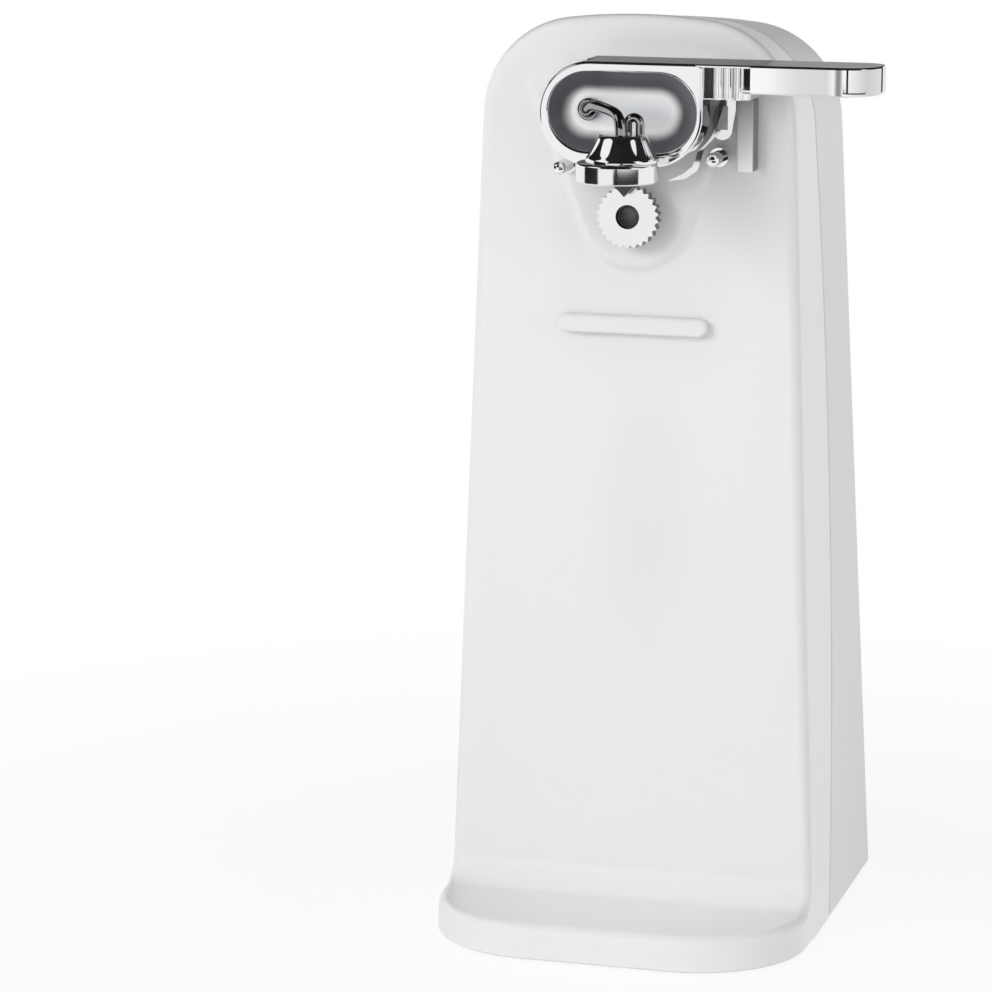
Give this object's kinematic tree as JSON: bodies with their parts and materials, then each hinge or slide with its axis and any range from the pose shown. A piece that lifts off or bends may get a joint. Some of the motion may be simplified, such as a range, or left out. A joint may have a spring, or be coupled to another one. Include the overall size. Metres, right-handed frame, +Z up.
{
  "type": "electric can opener",
  "caption": "Upright electric can opener: off-white two-part housing on a flat foot, chrome pressing lever with a lid magnet, toothed feed wheel, gear train and motor inside.",
  "frame": {"origin": "Under the middle of the whole outline, on the surface that the rubber feet stand on", "axes": "+X to the right seen from the front, towards the handle's end; +Y to the back; +Z up"},
  "size_m": [0.1154, 0.1266, 0.2412],
  "materials": {
    "housing": "glossy off-white moulding",
    "base": "matt light grey moulding",
    "rubber": "soft dark rubber",
    "chrome": "polished plate",
    "bright_steel": "bright turned steel",
    "spring_steel": "plain spring steel",
    "screw_steel": "zinc plated",
    "zinc_plate": "pressed zinc plated sheet",
    "laminations": "stacked silicon steel",
    "cast_aluminium": "as cast",
    "bearing_bronze": "sintered",
    "contact_brass": "plain",
    "magnet": "dull ferrite",
    "button": "glossy light grey moulding",
    "gear_nylon": "ivory nylon",
    "bobbin_nylon": "white nylon",
    "coil_copper": "enamelled copper wire",
    "switch_case": "black moulding",
    "plunger": "red moulding",
    "lead_cover": "black insulation"
  },
  "bodies": {
    "housing": {"front_housing": "housing", "rear_housing": "housing", "base_plate": "base", "rubber_feet": "rubber", "base_screws": "screw_steel", "shell_screws": "screw_steel", "cord_gland": "rubber", "pivot_bushing": "bearing_bronze", "left_locating_pin": "bright_steel", "right_locating_pin": "bright_steel", "switch_body": "switch_case", "switch_terminals": "contact_brass", "switch_screws": "screw_steel", "button_spring": "spring_steel", "front_bushing": "bearing_bronze", "rear_bushing": "bearing_bronze", "gear_axles": "bright_steel", "front_gear_plate": "zinc_plate", "back_gear_plate": "zinc_plate", "plate_posts": "bright_steel", "gear_plate_screws": "screw_steel", "stator_core": "laminations", "coil_bobbin": "bobbin_nylon", "coil_winding": "coil_copper", "front_motor_bracket": "cast_aluminium", "rear_motor_bracket": "cast_aluminium", "motor_bearings": "bearing_bronze", "motor_screws": "screw_steel", "lead_wires": "lead_cover"},
    "pivot": {"pivot_shaft": "bright_steel", "pivot_clip": "spring_steel"},
    "lever": {"lever_body": "chrome", "cutter_blade": "spring_steel", "blade_screw": "screw_steel", "guide_plate": "bright_steel", "magnet_eyelet": "chrome"},
    "magnet": {"magnet_arm": "chrome", "arm_clip": "spring_steel", "holder_hoop": "chrome", "magnet_holder": "chrome", "magnet_cup": "chrome", "lid_magnet": "magnet"},
    "button": {"switch_button": "button"},
    "plunger": {"switch_plunger": "plunger"},
    "feed": {"feed_wheel": "bright_steel", "feed_shaft": "bright_steel", "feed_clip": "spring_steel", "output_gear": "gear_nylon"},
    "second": {"second_gear": "gear_nylon"},
    "first": {"first_gear": "gear_nylon"},
    "motor": {"motor_pinion": "bright_steel", "motor_shaft": "bright_steel", "rotor_core": "laminations", "motor_fan": "bobbin_nylon"}
  },
  "joints": [
    {"name": "lever_press", "type": "hinge", "parent": "housing", "child": "pivot", "pos_m": [-0.01607, -0.02009, 0.2186], "axis": [0, 1, 0], "range_deg": [0, 2.6], "stiffness_Nm_per_rad": 0.8, "springref_deg": -11.46},
    {"name": "lever_lift", "type": "hinge", "parent": "pivot", "child": "lever", "pos_m": [-0.01607, -0.03209, 0.2186], "axis": [0, -1, 0], "range_deg": [0, 50]},
    {"name": "magnet_swing", "type": "hinge", "parent": "lever", "child": "magnet", "pos_m": [-0.01607, -0.03609, 0.2186], "axis": [0, -1, 0], "range_deg": [0, 45]},
    {"name": "button_slide", "type": "slide", "parent": "housing", "child": "button", "axis": [0, 0, -1], "range_m": [0, 0.00165], "stiffness_N_per_m": 250, "springref_m": -0.003, "deforming": ["button_spring"]},
    {"name": "plunger_slide", "type": "slide", "parent": "housing", "child": "plunger", "axis": [0, 0, -1], "range_m": [0, 0.00165]},
    {"name": "motor_spin", "type": "hinge", "parent": "housing", "child": "motor", "pos_m": [-0.00827, 0.02491, 0.11239], "axis": [0, -1, 0], "continuous": true},
    {"name": "first_gear_spin", "type": "hinge", "parent": "housing", "child": "first", "pos_m": [-0.00634, -0.00009, 0.13551], "axis": [0, -1, 0], "continuous": true},
    {"name": "second_gear_spin", "type": "hinge", "parent": "housing", "child": "second", "pos_m": [-0.01926, -0.00209, 0.16259], "axis": [0, -1, 0], "continuous": true},
    {"name": "feed_spin", "type": "hinge", "parent": "housing", "child": "feed", "pos_m": [-0.00827, -0.01009, 0.1905], "axis": [0, -1, 0], "continuous": true}
  ],
  "couplings": [
    {"joint": "button_slide", "follows": "lever_press", "m_per_rad": 0.0363},
    {"joint": "plunger_slide", "follows": "lever_press", "m_per_rad": 0.0363},
    {"joint": "first_gear_spin", "follows": "motor_spin", "ratio": -0.20833},
    {"joint": "second_gear_spin", "follows": "motor_spin", "ratio": 0.052083},
    {"joint": "feed_spin", "follows": "motor_spin", "ratio": -0.017361}
  ]
}
